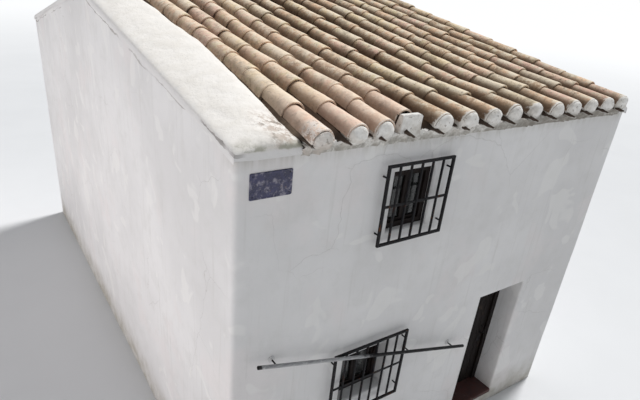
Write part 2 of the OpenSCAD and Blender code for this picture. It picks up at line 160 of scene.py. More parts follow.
def make(name, bag, mat, nodes=(), body="house", angle=40, closed=True, weld=0):
    me = bpy.data.meshes.new(name)
    me.from_pydata(np.concatenate(bag.v).tolist(), [], bag.f)
    for key in ("tone", "lime"):
        at = me.attributes.new(key, "FLOAT", "POINT")
        at.data.foreach_set("value", np.concatenate(getattr(bag, key)))
    if closed or weld:
        bm = bmesh.new()
        bm.from_mesh(me)
        if weld:
            bmesh.ops.remove_doubles(bm, verts=bm.verts, dist=weld)
        if closed:
            bmesh.ops.recalc_face_normals(bm, faces=bm.faces)
        bm.to_mesh(me)
        bm.free()
    me.polygons.foreach_set("use_smooth", [True] * len(me.polygons))
    me.set_sharp_from_angle(angle=radians(angle))
    ob = add_object(name, me)
    me.materials.append(mat)
    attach(ob, body)
    if nodes:
        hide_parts(*nodes)


# Outlines and sweeps
def rounded(w, h, r, k=2):
    x, y = w / 2 - r, h / 2 - r
    pts = []
    for turn, (cx, cy) in enumerate(((x, y), (-x, y), (-x, -y), (x, -y))):
        for j in range(k + 1):
            t = radians(90 * turn + 90 * j / k)
            pts.append((cx + r * cos(t), cy + r * sin(t)))
    return np.array(pts)


def bar(bag, a, b, sec, n, wob=0, tone=.5, seed=0):
    a, b = np.array(a, float), np.array(b, float)
    d = (b - a) / np.linalg.norm(b - a)
    ex = np.cross((0, 1, 0), d)
    ex /= np.linalg.norm(ex)
    ey = np.cross(d, ex)
    rows = []
    for k in range(n + 1):
        t = k / n
        o = a + (b - a) * t
        if wob:
            o = o + (ex * noise(o, 3, seed) + ey * noise(o, 3, seed + 5)) * wob * min(1, 6 * t * (1 - t))
        rows.append(o + (sec[:, :1] * ex + sec[:, 1:] * ey))
    bag.grid(np.array(rows), wrap=True, caps=True, tone=tone)


def revolve(bag, profile, o, n=12):
    axis = np.array((0, 1., 0))
    ex = np.cross(axis, (.3, .5, .81))
    ex /= np.linalg.norm(ex)
    ey = np.cross(axis, ex)
    t = np.arange(n) * 2 * np.pi / n
    ring = np.cos(t)[:, None] * ex + np.sin(t)[:, None] * ey
    P = [np.array(o) + axis * z + r * ring for r, z in profile]
    bag.grid(np.array(P), wrap=True, caps=True)


# A point on a slope: u across from the lane corner, s up from the front face, n off the deck
def on_roof(u, s, n, side=1):
    y = -D / 2 + s * COS - n * SIN
    return points(u - W / 2, side * y, EAVE + s * SIN + n * COS)


# Node materials
class Tree:
    def __init__(self, name):
        self.m = bpy.data.materials.new(name)
        self.m.use_nodes = True
        self.t = self.m.node_tree
        self.t.nodes.clear()
        new = self.t.nodes.new
        self.b = new("ShaderNodeBsdfPrincipled")
        self.t.links.new(self.b.outputs[0], new("ShaderNodeOutputMaterial").inputs[0])
        self.obj = new("ShaderNodeTexCoord").outputs["Object"]
        self.color = self.normal = None

    def put(self, socket, value):
        if isinstance(value, bpy.types.NodeSocket):
            self.t.links.new(value, socket)
        else:
            socket.default_value = (*value, 1) if socket.type == "RGBA" else value

    def node(self, kind, ins=(), out=0, **props):
        n = self.t.nodes.new("ShaderNode" + kind)
        for k, v in props.items():
            setattr(n, k, v)
        for k, v in dict(ins).items():
            self.put(n.inputs[k], v)
        return n.outputs[out]

    def vector(self, op, a, b):
        return self.node("VectorMath", {0: a, 1: b}, operation=op)

    def scaled(self, *xyz):
        return self.vector("MULTIPLY", self.obj, xyz)

    def noise(self, scale, detail=4, rough=.55, vec=None, warp=0):
        ins = {"Scale": scale, "Detail": detail, "Roughness": rough, "Distortion": warp}
        return self.node("TexNoise", {"Vector": vec or self.obj, **ins})

    def cells(self, scale, feature="F1", vec=None):
        return self.node("TexVoronoi", {"Vector": vec or self.obj, "Scale": scale}, feature=feature)

    def ramp(self, x, a, b, lo=0, hi=1):
        return self.node("MapRange", {0: x, 1: a, 2: b, 3: lo, 4: hi}, interpolation_type="SMOOTHSTEP")

    def math(self, op, a, b=0):
        return self.node("Math", {0: a, 1: b}, operation=op)

    # Product of masks and numbers, where a tuple stands for a ramp
    def mul(self, *masks):
        out = None
        for m in masks:
            m = self.ramp(*m) if isinstance(m, tuple) else m
            out = m if out is None else self.math("MULTIPLY", out, m)
        return out

    def add(self, a, b):
        return self.math("ADD", a, b)

    def sub(self, a, b):
        return self.math("SUBTRACT", a, b)

    def mix(self, f, a, b):
        return self.node("Mix", {0: f, 6: a, 7: b}, out=2, data_type="RGBA")

    def xyz(self, k):
        return self.node("SeparateXYZ", {0: self.obj}, out=k)

    def tone(self, name="tone"):
        return self.node("Attribute", out=2, attribute_name=name)

    # Noise about zero, times its reach
    def wave(self, x, reach):
        return self.mul(self.sub(x, .5), reach)

    # First colour: a where x is low, b where it is high
    def base(self, x, a, b, lo=.3, hi=.7):
        self.color = self.mix(self.ramp(x, lo, hi), a, b)

    # Lays a colour over what is there, as far as all the masks let it
    def coat(self, color, *masks):
        self.color = self.mix(self.mul(*masks), self.color, color)

    # Each bump lies on the one before
    def bump(self, h, dist, strength):
        ins = {"Height": h, "Distance": dist, "Strength": strength}
        if self.normal:
            ins["Normal"] = self.normal
        self.normal = self.node("Bump", ins)

    def done(self, rough, **more):
        ins = {"Base Color": self.color, "Roughness": rough, "Normal": self.normal, **more}
        for k, v in ins.items():
            if v is not None:
                self.put(self.b.inputs[k.replace("_", " ")], v)
        return self.m


# How far up its slope a point lies, and how high above the deck's line
def on_slope(t):
    s = t.sub(D / 2, t.math("ABSOLUTE", t.xyz(1)))
    return s, t.sub(t.sub(t.xyz(2), EAVE), t.mul(s, TAN))


# The crack along the lane verge, where the cap was smoothed over the wall
def verge_crack(t):
    y = t.xyz(1)
    wander = t.wave(t.noise(1.6, 4, .6), .14)
    line = t.add(t.add(on_slope(t)[1], wander), t.ramp(y, -3.75, -3.2, -.018, .080))
    width = t.ramp(t.noise(5, 3), .35, .7, .003, .014)
    thin = t.math("LESS_THAN", t.math("ABSOLUTE", line), width)
    shows = t.ramp(t.noise(.9, 2, .5, vec=t.vector("ADD", t.obj, (0, 2.6, 0))), .46, .56)
    shows = t.math("MAXIMUM", shows, t.ramp(t.math("ABSOLUTE", t.add(y, 3.93)), .26, .14))
    return t.mul(thin, shows, (t.xyz(0), -2.40, -2.47))


t = Tree("lime_plaster")
big, mid, fine = t.noise(.7, 3), t.noise(5, 5, .6), t.noise(70, 3, .6)
t.base(big, (.705, .695, .69), (.80, .79, .785))
t.coat((.79, .745, .735), (t.noise(1.3, 3, .6), .52, .68, 0, .5))
t.coat((.65, .64, .62), (mid, .45, .75, 0, .35))
# Rain runs and lime drips
runs = t.noise(1, 4, .6, vec=t.scaled(16, 16, .9))
t.coat((.60, .585, .56), (runs, .54, .78, 0, .42))
# Patches of later limewash
t.coat((.84, .83, .81), (t.noise(2.3, 2, .5, warp=.6), .60, .64, 0, .5))
# Splashed foot
z = t.xyz(2)
t.coat((.42, .39, .33), (z, .55, .0), (mid, .25, .75, .35, 1))
# Dust below the eave, with painted shade of the eave
y = t.math("ABSOLUTE", t.xyz(1))
eave = t.mul((z, EAVE - .16, EAVE - .02), (y, D / 2 - .2, D / 2 - .05))
t.coat((.50, .475, .43), eave, (runs, .35, .7, .15, .7))
# Hair cracks
warp = t.node("TexNoise", {"Vector": t.obj, "Scale": 6.0, "Detail": 3.0}, out=1)
warp = t.vector("MULTIPLY", warp, (.11, .11, .11))
edge = t.cells(1.3, "DISTANCE_TO_EDGE", vec=t.vector("ADD", t.obj, warp))
crack = t.mul((edge, .005, .0), (t.noise(.9, 1), .54, .62))
t.coat((.33, .31, .28), crack, .28)
t.coat((.36, .33, .31), verge_crack(t), .75)
t.bump(t.noise(2.2, 4, .5), .03, .6)
t.bump(t.add(mid, t.mul(fine, .18)), .010, .55)
t.bump(t.sub(1, crack), .003, .6)
PLASTER = t.done(t.ramp(mid, .3, .7, .82, .95))

t = Tree("inner_plaster")
mid = t.noise(4, 5, .6)
t.base(mid, (.50, .49, .46), (.62, .60, .57))
t.bump(mid, .01, .6)
INNER = t.done(.92)

t = Tree("lime_mortar")
mid, fine = t.noise(7, 6, .65), t.noise(45, 4, .65)
t.base(mid, (.965, .925, .875), (.905, .86, .80), .35, .7)
t.coat((.82, .77, .70), (t.noise(2.1, 3), .52, .72, 0, .35))
# Thin mortar lets the clay and the dirt through
t.coat((.50, .40, .33), t.tone(), (t.noise(16, 6, .7), .42, .56), .8)
t.coat((.25, .205, .17), t.tone(), (t.noise(13, 4, .7, warp=.5), .55, .63, 0, .8))
# Grey lichen and dirt gather at the ends
y = t.math("ABSOLUTE", t.xyz(1))
t.coat((.46, .44, .39), (y, 4.08, 4.24), (mid, .38, .6, .35, 1), .45)
t.coat((.46, .44, .40), (t.cells(26), .20, .08), (t.noise(3.2, 2), .5, .62), .4)
# The lip is limewashed with the wall
height = t.add(on_slope(t)[1], t.wave(mid, .05))
t.coat((.755, .74, .73), (height, .05, .0))
# An olive band darkens the rim of the front end
rim = t.mul((height, .014, .028), (height, .072, .040))
rim = t.mul(rim, t.mul((y, 4.175, 4.215), (t.noise(9, 4, .65), .42, .58, .08, .75)))
t.coat((.37, .365, .29), rim)
t.coat((.30, .275, .26), verge_crack(t), .8)
t.bump(mid, .022, .8)
t.bump(fine, .004, .8)
MORTAR = t.done(t.ramp(fine, .3, .7, .85, .98))

t = Tree("eave_mortar")
mid, fine = t.noise(14, 6, .7), t.noise(70, 4, .65)
s, n_up = on_slope(t)
t.base(mid, (.93, .91, .875), (.80, .77, .72), .35, .65)
t.coat((.60, .55, .48), (t.noise(6, 3), .52, .68, 0, .45))
t.coat((.55, .46, .40), (t.add(t.tone(), t.wave(mid, .8)), .42, .05), .8)
t.coat((.26, .22, .18), (t.noise(30, 3), .60, .70), .6)
# Painted shade with grime under the lumps, darker towards the right; near-black painted shade where the
# mortar goes back under the tiles
t.coat((.36, .34, .30), (n_up, .050, -.035), (mid, .3, .6, .25, .95))
t.coat((.25, .23, .20), (t.xyz(0), -.6, 1.0, .15, .9), (n_up, .10, .03), (mid, .3, .5, .6, 1))
t.coat((.050, .035, .026), (s, .020, .035))
t.bump(mid, .018, .9)
t.bump(fine, .004, .9)
EAVE_MORTAR = t.done(.93)


def tile_mat(name, channel):
    t = Tree(name)
    tone = t.tone()
    shift = t.vector("ADD", t.obj, t.node("CombineXYZ", {0: t.mul(tone, 7.3)}))
    mid, fine = t.noise(19, 5, .68, vec=shift), t.noise(120, 3, .6)
    s, n_up = on_slope(t)
    if not channel:
        # A tile's upper end is narrower, so its crown lies lower
        n_up = t.add(n_up, t.mul(t.math("MINIMUM", t.tone("lime"), 0), -.032))
    # Fired clay, each tile of its own tone
    t.base(tone, (.50, .33, .20), (.86, .57, .37), .0, .30)
    t.coat((.84, .54, .43), (tone, .36, .54))
    t.coat((.90, .71, .43), (tone, .60, .78))
    t.coat((.78, .68, .53), (tone, .82, 1))
    t.coat((.97, .80, .60), (mid, .48, .64, 0, .75))
    t.coat((.26, .175, .11), (mid, .44, .32, 0, .75))
    # Lichen: pale on the crowns, olive down the flanks
    lich = t.noise(8, 5, .72, vec=shift)
    t.coat((.865, .765, .60), (lich, .48, .58, 0, .9), (n_up, .12, .19))
    t.coat((.31, .27, .185), (t.noise(4.2, 5, .7), .52, .64, 0, .65))
    t.coat((.20, .135, .085), (t.noise(13, 5, .75, vec=shift), .55, .66, 0, .8))
    t.coat((.84, .72, .55), (t.noise(24, 5, .8), .54, .60, 0, .55))
    t.coat((.27, .225, .16), (t.cells(42), .26, .10), (t.noise(4, 3), .42, .58), .7)
    # Painted shade with dirt under the lip of the next tile up, and painted shade down the flanks
    under = t.add(t.tone("lime"), t.wave(t.noise(16, 4, .7), .5))
    t.coat((.32, .21, .13), (under, -.12, -.46), (t.noise(4.6, 2), .38, .62, .10, .65))
    # Painted shade: the flanks darken towards their foot, more away from the lane
    t.coat((.35, .23, .14), (n_up, .198, .140, 0, .64), (t.xyz(0), -1.1, -.6, .35, 1))
    # The rows beside the lane verge are cleaner and pinker, most of all at the eave
    near = t.ramp(t.xyz(0), -.70, -.95)
    t.coat((.98, .735, .60), near, (s, 1.0, .2, .20, .55))
    # Painted highlight along the very crown, weaker towards the right
    t.coat((.965, .82, .635), (n_up, .180, .199), (mid, .35, .6, .22, .74), (t.xyz(0), .2, 1.6, 1, .35))
    t.coat((.72, .62, .38), (t.noise(9, 6, .75, vec=shift), .55, .62, 0, .6), (s, .3, .8))
    # Painted shade with earth in the channels and up the flanks
    low = t.ramp(n_up, .15 if channel else .188, .110)
    if not channel:
        low = t.mul(low, t.sub(1, t.mul(near, .5)))
    # Colour of the painted shade, darkest towards the lane
    earth_and_shade = t.mix(t.ramp(t.xyz(0), -1.15, -.55), (.058, .032, .019), (.115, .068, .040))
    t.coat(earth_and_shade, low, (mid, .2, .7, 1, .80))
    if channel:
        # Brown earth shows in the first channels
        t.coat((.17, .115, .08), (t.xyz(0), -.9, -1.6, 0, .55))
        t.coat((.36, .265, .185), (t.xyz(0), -1.85, -1.95), (s, .5, .1), (mid, .3, .6, .5, .9))
    # Limewash splashed over the eave ends
    wash = t.add(t.tone("lime"), t.wave(t.noise(26, 4, .65), .9))
    if channel:
        # Near-black painted shade in the channel's end at the eave
        t.coat((.045, .030, .022), (s, .12, .0, 0, .9))
        t.coat((.62, .60, .56), (s, .02, -.03), (wash, .6, .9, 0, .85))
    else:
        t.coat((.86, .83, .775), (wash, .38, .62, 0, .92))
        # The first cover's end is mottled with wash and dirt
        end = t.mul((s, .10, -.04), (t.xyz(0), -1.70, -1.76))
        t.coat((.90, .83, .77), end, (t.noise(24, 5, .75), .44, .54, 0, .8))
        t.coat((.30, .25, .21), end, (t.noise(34, 4, .7), .56, .64, 0, .75))
    t.bump(mid, .008, .85)
    t.bump(t.noise(40, 5, .7), .003, .7)
    t.bump(fine, .0012, .8)
    return t.done(t.ramp(mid, .3, .7, .8, .97))


COVER, CHANNEL = tile_mat("cover_tile", False), tile_mat("channel_tile", True)


def iron_mat(name, washed):
    t = Tree(name)
    mid, fine = t.noise(35, 5, .65), t.noise(300, 3)
    t.base(mid, (.008, .008, .010), (.020, .019, .020))
    rust = t.mul((t.noise(14, 5, .7), .58, .68), (mid, .35, .6))
    t.coat((.115, .045, .02), rust)
    t.bump(mid, .0012, .8)
    t.bump(fine, .0003, .8)
    if washed:
        # The roses were limewashed with the wall
        near = t.ramp(t.add(t.xyz(1), t.mul(mid, .004)), -D / 2 - .016, -D / 2 - .011, 0, .93)
        t.coat((.66, .655, .65), near)
    return t.done(t.mix(rust, (.55, .55, .55), (.9, .9, .9)), Specular_IOR_Level=.12)


IRON, BRACKET = iron_mat("black_iron", False), iron_mat("washed_iron", True)

t = Tree("worn_tube")
mid = t.noise(22, 5, .65)
long = t.noise(1, 4, .6, vec=t.scaled(5, 60, 60))
t.base(long, (.27, .27, .275), (.42, .42, .425), .35, .65)
t.coat((.50, .50, .50), (mid, .55, .66))
t.coat((.17, .09, .05), (t.noise(9, 5, .7), .62, .72, 0, .7))
# Near-black painted shadow along the lower length, to the right
where = t.add(t.xyz(0), t.wave(mid, .30))
t.coat((.010, .0095, .0105), (where, -1.14, -1.04), (t.noise(30, 5, .7), .70, .62, .25, 1))
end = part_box("handrail")[0][0]
t.coat((.030, .028, .028), (t.xyz(0), end + .045, end + .030))
t.bump(mid, .0008, .7)
TUBE = t.done(t.ramp(mid, .3, .7, .42, .68), Metallic=.1, Specular_IOR_Level=.3)


def wood_mat(name, dark, light, grain, axis, paint=None, wear=None):
    t = Tree(name)
    sc = [grain] * 3
    sc[axis] = grain / 14
    v = t.scaled(*sc)
    g = t.noise(1, 6, .62, vec=v, warp=.7)
    rings = t.noise(.35, 2, .5, vec=v, warp=1.2)
    t.base(g, dark, light)
    t.coat(dark, (rings, .42, .58, 0, .4))
    t.coat(light, (t.tone(), 0, 1, 0, .35))
    t.bump(g, .0025, .8)
    if paint:
        worn = t.mul((t.noise(7, 5, .7), *wear), (g, .35, .6))
        t.coat(paint, t.sub(1, t.mul(worn, .85)))
    return t.done(t.ramp(g, .3, .7, .55, .82), Specular_IOR_Level=.2 if paint else .5)


t = Tree("old_glass")
dust = t.noise(6, 5, .6)
t.base(dust, (.10, .11, .11), (.17, .17, .16), .4, .8)
t.bump(t.noise(5, 2), .0006, .5)
GLASS = t.done(t.ramp(dust, .35, .75, .05, .25), Transmission_Weight=.9, IOR=1.5, Specular_IOR_Level=.25)

t = Tree("floor_screed")
mid = t.noise(3, 6, .6)
t.base(mid, (.33, .30, .26), (.46, .43, .385))
t.bump(t.noise(30, 5), .003, .7)
SCREED = t.done(t.ramp(mid, .3, .7, .6, .85))

t = Tree("red_step")
mid = t.noise(18, 6, .65)
t.base(mid, (.045, .016, .015), (.085, .030, .025))
t.coat((.16, .11, .09), (t.noise(5, 4, .7), .58, .7, 0, .45))
t.bump(mid, .002, .8)
STEP = t.done(t.ramp(mid, .3, .7, .5, .75))

t = Tree("navy_enamel")
mid = t.noise(18, 5, .6)
t.base(mid, (.012, .012, .050), (.026, .026, .095))
t.coat((.27, .25, .30), (t.noise(20, 6, .75), .50, .60), (t.noise(9, 3, .6), .40, .58), .9)
t.coat((.30, .29, .32), (t.noise(60, 4, .7), .62, .70, 0, .6))
t.coat((.10, .045, .025), (t.noise(40, 5, .7), .62, .67), (t.noise(7, 2), .46, .60))
t.bump(mid, .0006, .7)
ENAMEL = t.done(t.ramp(mid, .3, .7, .22, .42), Coat_Weight=.3, Coat_Roughness=.2)

t = Tree("cane_and_earth")
g = t.noise(1, 5, .6, vec=t.scaled(30, 3, 30))
t.base(g, (.34, .25, .14), (.52, .41, .25))
t.bump(g, .002, .8)
CANE = t.done(.8)

POLE = wood_mat("pole_wood", (.10, .062, .038), (.26, .17, .10), 22, 0)
BOARDS = wood_mat("floor_boards", (.13, .085, .05), (.33, .235, .15), 18, 1)
DOOR_WOOD = wood_mat("door_wood", (.04, .025, .018), (.10, .065, .045), 40, 2,
                     (.010, .0065, .0055), (.56, .76))
FRAME_WOOD = wood_mat("frame_wood", (.035, .022, .016), (.085, .055, .040), 50, 2,
                      (.012, .0075, .0065), (.54, .76))


# Walls: one plaster skin round the house, softly rounded at every arris
ARRIS, CORNER, SPLAY = .022, .05, .06
SIDES = [((-W / 2, -D / 2), (1, 0), (0, -1), W), ((W / 2, -D / 2), (0, 1), (1, 0), D),
         ((W / 2, D / 2), (-1, 0), (0, 1), W), ((-W / 2, D / 2), (0, -1), (-1, 0), D)]
# What is fixed to the front, where the plaster stays flat: x, z, reach
FIXED = [(.294, 3.813, .24), (.391, 2.191, .06), (2.030, 1.706, .06), (2.759, 1.49, .06)]
# Window guards: middle, foot, width, height
UPPER_GUARD, LOWER_GUARD = (1.734, 3.088, .776, .748), (1.520, 1.141, .930, .850)
EDGE_BAR, GUARD_OFF = .024, .046
for gx, gz, gw, gh in (UPPER_GUARD, LOWER_GUARD):
    FIXED += [(gx + sx * (gw - EDGE_BAR) / 2, gz + dz, .03) for sx in (-1, 1) for dz in (.112, gh - .112)]


def wall_shift(x, y, z):
    """How far the plaster lies behind the true face."""
    P = points(x, y, z)
    lane = step(-x, 2.40, 2.5) * step(4.2 - y, 0, .3)
    d = .5 + .5 * fbm(P, 1.1, 3, 3) + .16 * noise(P, 6, 9)
    d = np.clip(d, 0, 1.2) * (.007 + .006 * lane)
    flat = np.ones_like(d)
    for fx, fz, r in FIXED:
        for front in (-1, 1):
            far = np.hypot(np.hypot(x + W / 2 - fx, z - fz), (y - front * D / 2) * 2)
            flat = flat * step(far, r, r + .22)
    return d * flat + .0004


def cuts(a, b, need, h):
    pts = sorted({round(v, 5) for v in need + [a, b] if a <= v <= b})
    out = [pts[0]]
    for p, q in zip(pts, pts[1:]):
        k = max(1, ceil((q - p) / h - .2))
        out += [p + (q - p) * j / k for j in range(1, k + 1)]
    return out


def wall_skin():
    bag = Bag()
    # Side, edges, splay towards the room and where it starts, rounded sill
    holes = [(0, *UPPER, SPLAY, .12, 1), (0, *LOWER, SPLAY, .21, 1), (0, *DOOR, 0, .21, 0),
             (2, W - UPPER[1], W - UPPER[0], *UPPER[2:], SPLAY, .12, 1)]
    r = ARRIS
    zs = cuts(0, 3.95, [v for h in holes for v in (h[3] - r * h[7], h[4] + r)], .065)
    # Rows above the even ones, steps round a corner, depth at which a reveal is true to size
    top_rows, turns, true_at = 8, 5, .14
    # Round the house: place, direction outwards, side and distance along it
    ring = []
    for k, (o, d, m, L) in enumerate(SIDES):
        need = [v for h in holes if h[0] == k for v in (h[1] - r, h[2] + r)]
        fine = {0: .055, 1: .11, 2: .09, 3: .065}[k]
        for t in cuts(CORNER, L - CORNER, need, fine):
            ring.append((o[0] + d[0] * t, o[1] + d[1] * t, *m, k, t))
        m2 = SIDES[(k + 1) % 4][2]
        cx = o[0] + d[0] * (L - CORNER) - m[0] * CORNER
        cy = o[1] + d[1] * (L - CORNER) - m[1] * CORNER
        for j in range(1, turns):
            a = pi / 2 * j / turns
            v = (m[0] * cos(a) + m2[0] * sin(a), m[1] * cos(a) + m2[1] * sin(a))
            ring.append((cx + v[0] * CORNER, cy + v[1] * CORNER, *v, k, L + 1))
    base, norm, tag = np.split(np.array(ring), (2, 4), 1)
    top = EAVE - .004 + (D / 2 - np.abs(base[:, 1])) * TAN
    upper = zs[-1] + (top[:, None] - zs[-1]) * np.arange(1, top_rows + 1) / top_rows
    z = np.concatenate([np.tile(zs, (len(base), 1)), upper], 1)
    x, y, z = np.broadcast_arrays(base[:, :1], base[:, 1:], z)
    dd = wall_shift(x, y, z)
    P = points(x - norm[:, :1] * dd, y - norm[:, 1:] * dd, z)
    inward = np.concatenate([norm, np.zeros((len(norm), 1))], 1)[:, None, :]
    P = np.concatenate([P[:, :1] - inward * .47, P, P[:, -1:] - inward * .4], 1)
    P = np.concatenate([P, P[:1]])
    keep = np.ones((P.shape[0] - 1, P.shape[1] - 1), bool)
    for k, x0, x1, z0, z1, splay, deep, low in holes:
        wide = [i for i, (s, t) in enumerate(tag) if s == k and x0 - r - HAIR <= t < x1 + r - HAIR]
        high = [j for j, v in enumerate(zs, 1) if z0 - r * low - HAIR <= v < z1 + r - HAIR]
        keep[np.ix_(wide, high)] = False
        # Reveal, ring by ring from the rounded arris to the room
        ts = [t for s, t in tag if s == k and x0 - r - HAIR <= t <= x1 + r + HAIR]
        hs = [v for v in zs if z0 - r * low - HAIR <= v <= z1 + r + HAIR]
        fx = (np.array(ts) - ts[0]) / (ts[-1] - ts[0])
        fz = (np.array(hs) - hs[0]) / (hs[-1] - hs[0])
        loop = [(a, 0) for a in fx] + [(1, b) for b in fz[1:]]
        loop = np.array(loop + [(a, 1) for a in fx[-2::-1]] + [(0, b) for b in fz[-2:0:-1]])
        o, d, m, _ = SIDES[k]
        rings = [(r * (1 - sin(a)), r * (1 - cos(a)), 0) for a in np.linspace(0, pi / 2, 5)]
        depths = (.06, .09, .12, .16, .21, .30, .39, .48)
        rings += [(0, v, splay * max(0, v - deep) / (WALL - deep)) for v in depths]
        rows = []
        for off, depth, sp in rings:
            a0, a1, b0, b1 = x0 - off - sp, x1 + off + sp, z0 - off * low, z1 + off
            u = a0 + (a1 - a0) * loop[:, 0]
            v = b0 + (b1 - b0) * loop[:, 1]
            px, py = o[0] + d[0] * u, o[1] + d[1] * u
            e = wall_shift(px, py, v) * max(0, 1 - depth / true_at)
            rows.append(points(px - m[0] * (depth + e), py - m[1] * (depth + e), v))
        bag.grid(np.array(rows), wrap=True, flip=True)
    bag.grid(P, keep=keep)
    walls = ("front_wall_upper", "front_wall_lower", "front_wall_pier", "door_footing",
             "lane_wall", "right_wall", "back_wall")
    make("plaster_walls", bag, PLASTER, nodes=walls, angle=50, closed=False, weld=WELD)


def room_skin():
    """Inner faces of the four walls."""
    bag = Bag()
    iw, idp = W / 2 - WALL, D / 2 - WALL
    def side(ax, ay, bx, by, holes):
        L = hypot(bx - ax, by - ay)
        ts = cuts(0, L, [v for h in holes for v in h[:2]], .3)
        zs = cuts(FLOOR, 3.9, [v for h in holes for v in h[2:]], .3)
        ts, zs = np.array(ts), np.array(zs)
        x, y = ax + (bx - ax) * ts / L, ay + (by - ay) * ts / L
        top = EAVE - .07 + (D / 2 - np.abs(y)) * TAN
        z = np.concatenate([np.tile(zs, (len(ts), 1)), top[:, None]], 1)
        P = points(x[:, None], y[:, None], z)
        keep = np.ones((len(ts) - 1, z.shape[1] - 1), bool)
        for h in holes:
            wide, high = (np.flatnonzero((lo - HAIR <= v) & (v < hi - HAIR))
                          for v, lo, hi in ((ts, *h[:2]), (zs, *h[2:])))
            keep[np.ix_(wide, high)] = False
        bag.grid(P, keep=keep, flip=True)
    def splayed(hole):
        return (hole[0] - WALL - SPLAY, hole[1] - WALL + SPLAY, *hole[2:])
    win, door_hole = splayed(UPPER), (DOOR[0] - WALL, DOOR[1] - WALL, FLOOR, DOOR[3])
    side(-iw, -idp, iw, -idp, [win, splayed(LOWER), door_hole])
    side(iw, -idp, iw, idp, [])
    side(iw, idp, -iw, idp, [(2 * iw - win[1], 2 * iw - win[0], *win[2:])])
    side(-iw, idp, -iw, -idp, [])
    make("room_plaster", bag, INNER, angle=35, closed=False)


wall_skin()
room_skin()


# Cane ceiling under the tiles, set in from the wall faces
def ceiling(side, node):
    bag = Bag()
    U, S = np.meshgrid(np.linspace(.04, W - .04, 561), (.045, 1.1, 2.2, 3.3, RUN - .002), indexing="ij")
    cane, groove = .035, .007
    low = -.060 + groove * (1 - np.abs(np.sin(U * pi / cane)))
    under = on_roof(U, S, low, side)
    over = on_roof(U, S, -.012, side)
    bag.grid(np.concatenate([under, over[:, ::-1]], 1), wrap=True, caps=True)
    make("cane_ceiling_" + node, bag, CANE, nodes=(node,), angle=35)


ceiling(1, "front_deck")
ceiling(-1, "back_deck")


# Barrel tile: a tapered arc of clay with chipped ends
def barrel(bag, place, L, r0, r1, arc, tone, seed, na=16, nl=5, hollow=False, chip=1.0, lime=0.0):
    a = np.linspace(radians(arc[0]), radians(arc[1]), na + 1)
    f = np.concatenate([[0, .03], np.linspace(.03, 1, nl)[1:]])[:, None]
    R = r0 + (r1 - r0) * f
    def shell(r):
        return points(r * np.cos(a), f * L, r * np.sin(a))
    P = np.concatenate([shell(R), shell(R - TILE_T)[:, ::-1]], 1)
    key = P + np.array([seed * 3.7, seed * 1.3, 0])
    P[..., 0] += .0035 * noise(key, 9, 1)
    P[..., 2] += .0035 * noise(key, 8, 2)
    # Worn and broken lower edge
    bite = np.abs(noise(key[0], 30, 3)) * .008 + .022 * chip * np.clip(noise(key[0], 13, 4) - .45, 0, 1)
    P[0, :, 1] += bite
    P[1, :, 1] += bite * .8
    P[0, :na + 1] *= (.978, 1, .978)
    if hollow:
        P[..., 2] *= -1
    n = P.shape[1]
    ids = np.arange(P.shape[0] * n).reshape(P.shape[0], n)
    q = quads(np.concatenate([ids, ids[:, :1]], 1)).reshape(-1, 4).tolist()
    for row, rev in ((ids[0], False), (ids[-1], True)):
        for j in range(na):
            c = [row[j], row[n - 1 - j], row[n - 2 - j], row[j + 1]]
            q.append(c[::-1] if rev else c)
    # Limewash: on a cover's last few centimetres, on the underside of a channel
    fade = np.ones(len(P)) if hollow else np.array([1, .5] + [0] * (len(P) - 2))
    lime = lime * fade[:, None] * (np.arange(n) <= na)
    # Below zero: painted shade, with dirt, under the lip of the next tile up
    bag.add(place(P), q, tone, (lime - .9 * np.clip(f - .30, 0, 1)).ravel())


# How far a row strays from its straight line
def stray(i, s, side):
    if side > 0:
        rows, *shape = zip(*BOWS)
        bow, start, full, ease = (np.interp(i, rows, v) for v in shape)
        # At the eave two groups of rows lean the other way
        eave = .020 * exp(-((i - 1.3) / 1.2) ** 2) * (1 - step(s, .5, 1.0))
        eave = eave + .030 * exp(-(i - 7.6) ** 2) * (1 - step(s, .35, .6))
        return eave - bow * step(s, start, full) * (1 - .45 * step(s, ease, ease + 1.4))
    lean = np.interp(i, (0, 1, 3, 5, 7, 9, 11, 13), (.01, .03, .02, -.02, -.03, .01, .02, .0))
    lean = lean * step(s, .1, 1.6) * (1 - .75 * step(s, 1.9, 4.2))
    return lean + .006 * np.sin(1.7 * s + 2.1 * i) * step(s, 0, .8)


# The chord of a row between the two ends of one tile
def chord(i, s, L, side):
    a, b = stray(i, max(s, 0), side), stray(i, s + L, side)
    return lambda y: a + (b - a) * y / L


